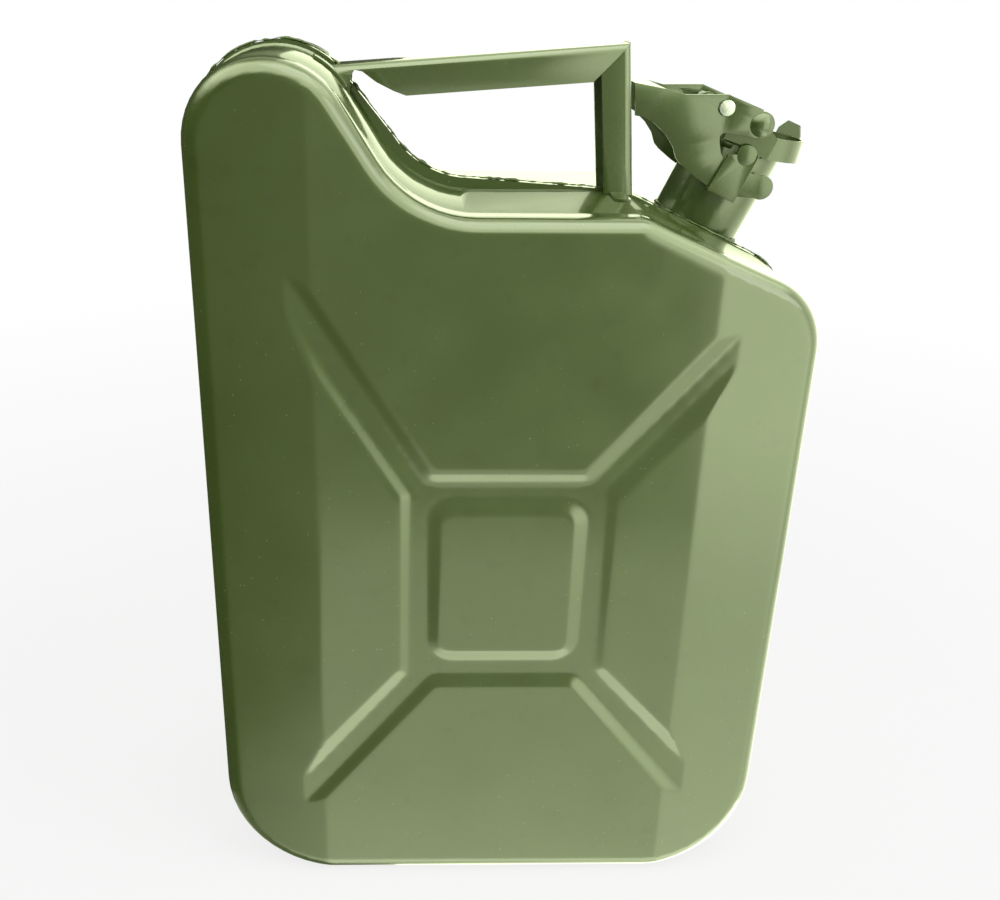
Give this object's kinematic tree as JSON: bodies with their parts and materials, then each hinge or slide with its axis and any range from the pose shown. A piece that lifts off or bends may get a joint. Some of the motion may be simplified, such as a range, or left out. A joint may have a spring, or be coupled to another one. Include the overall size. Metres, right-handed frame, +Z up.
{
  "type": "fuel can",
  "caption": "Flat pressed steel fuel can with a pressed cross, a raised left hump, a folded carrying handle and a tilted neck shut by a lever-locked cap.",
  "frame": {"origin": "middle of the base on the ground, in the seam plane, half way across the pressed body", "axes": "+Z up, -Y out of the front panel toward the viewer, +X toward the neck side, right in the picture"},
  "size_m": [0.2809, 0.124, 0.4083],
  "materials": {
    "shell_paint": "glossy",
    "handle_paint": "glossy",
    "closure_paint": "glossy",
    "weld_paint": "satin",
    "tube_steel": "satin",
    "zinc": "satin",
    "gasket_rubber": "matte"
  },
  "bodies": {
    "can": {"front_shell": "shell_paint", "rear_shell": "shell_paint", "seam_weld": "weld_paint", "handle_grip": "handle_paint", "handle_post": "handle_paint", "grip_welds": "weld_paint", "foot_welds": "weld_paint", "neck_tube": "closure_paint", "neck_weld": "weld_paint", "seat_ring": "closure_paint", "air_tube": "tube_steel", "hinge_band": "closure_paint", "band_welds": "weld_paint", "keeper_near": "closure_paint", "keeper_far": "closure_paint", "keeper_studs": "closure_paint", "pivot_rivets": "closure_paint"},
    "lever": {"lever": "closure_paint", "cap_pin": "zinc"},
    "cap": {"cap_plate": "closure_paint", "cap_bracket": "closure_paint", "cap_rivet": "closure_paint", "cap_gasket": "gasket_rubber"}
  },
  "joints": [
    {"name": "lever_pivot", "type": "hinge", "parent": "can", "child": "lever", "pos_m": [0.11327, 0.0221, 0.37304], "axis": [0, 1, 0], "range_deg": [0, 115]},
    {"name": "cap_pivot", "type": "hinge", "parent": "lever", "child": "cap", "pos_m": [0.0969, 0.0221, 0.38029], "axis": [0, 1, 0], "range_deg": [-115, 0]}
  ],
  "couplings": [
    {"joint": "cap_pivot", "follows": "lever_pivot", "ratio": -1}
  ]
}
